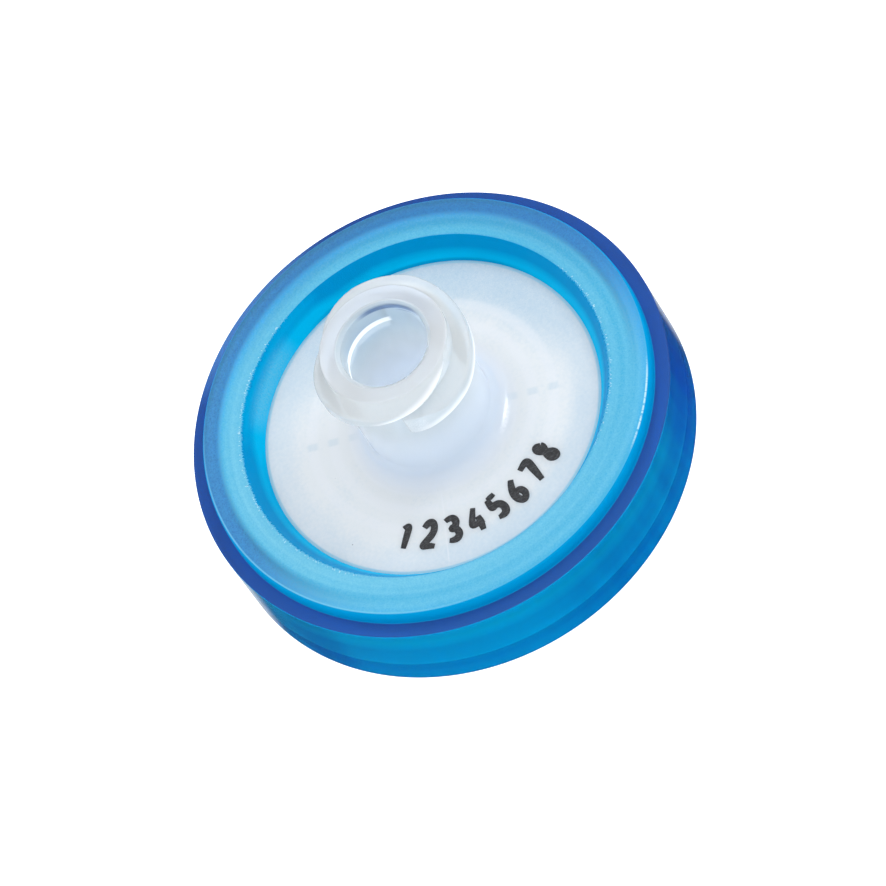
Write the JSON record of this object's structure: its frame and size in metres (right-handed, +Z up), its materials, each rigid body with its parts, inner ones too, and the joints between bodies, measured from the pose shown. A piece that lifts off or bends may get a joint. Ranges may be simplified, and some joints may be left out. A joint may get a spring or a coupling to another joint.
{
  "type": "syringe filter",
  "caption": "Round disc filter for a syringe: a lock socket with helical lugs above, a tapered slip nozzle below, and clear shells bound by a moulded blue ring.",
  "frame": {"origin": "middle of the outlet nozzle's end face, which the filter stands on", "axes": "+Z up the filter's axis, out of the inlet socket; +X and +Y across the disc"},
  "size_m": [0.0236, 0.0236, 0.0213],
  "materials": {
    "clear_shell": "natural translucent polypropylene, smooth and slightly milky",
    "blue_ring": "translucent blue polypropylene, satin on the land and glossy on the ledge and skirt",
    "membrane": "matt white porous film"
  },
  "bodies": {
    "root": {"inlet_shell": "clear_shell", "membrane": "membrane", "outlet_shell": "clear_shell", "seal_ring": "blue_ring"}
  },
  "joints": []
}
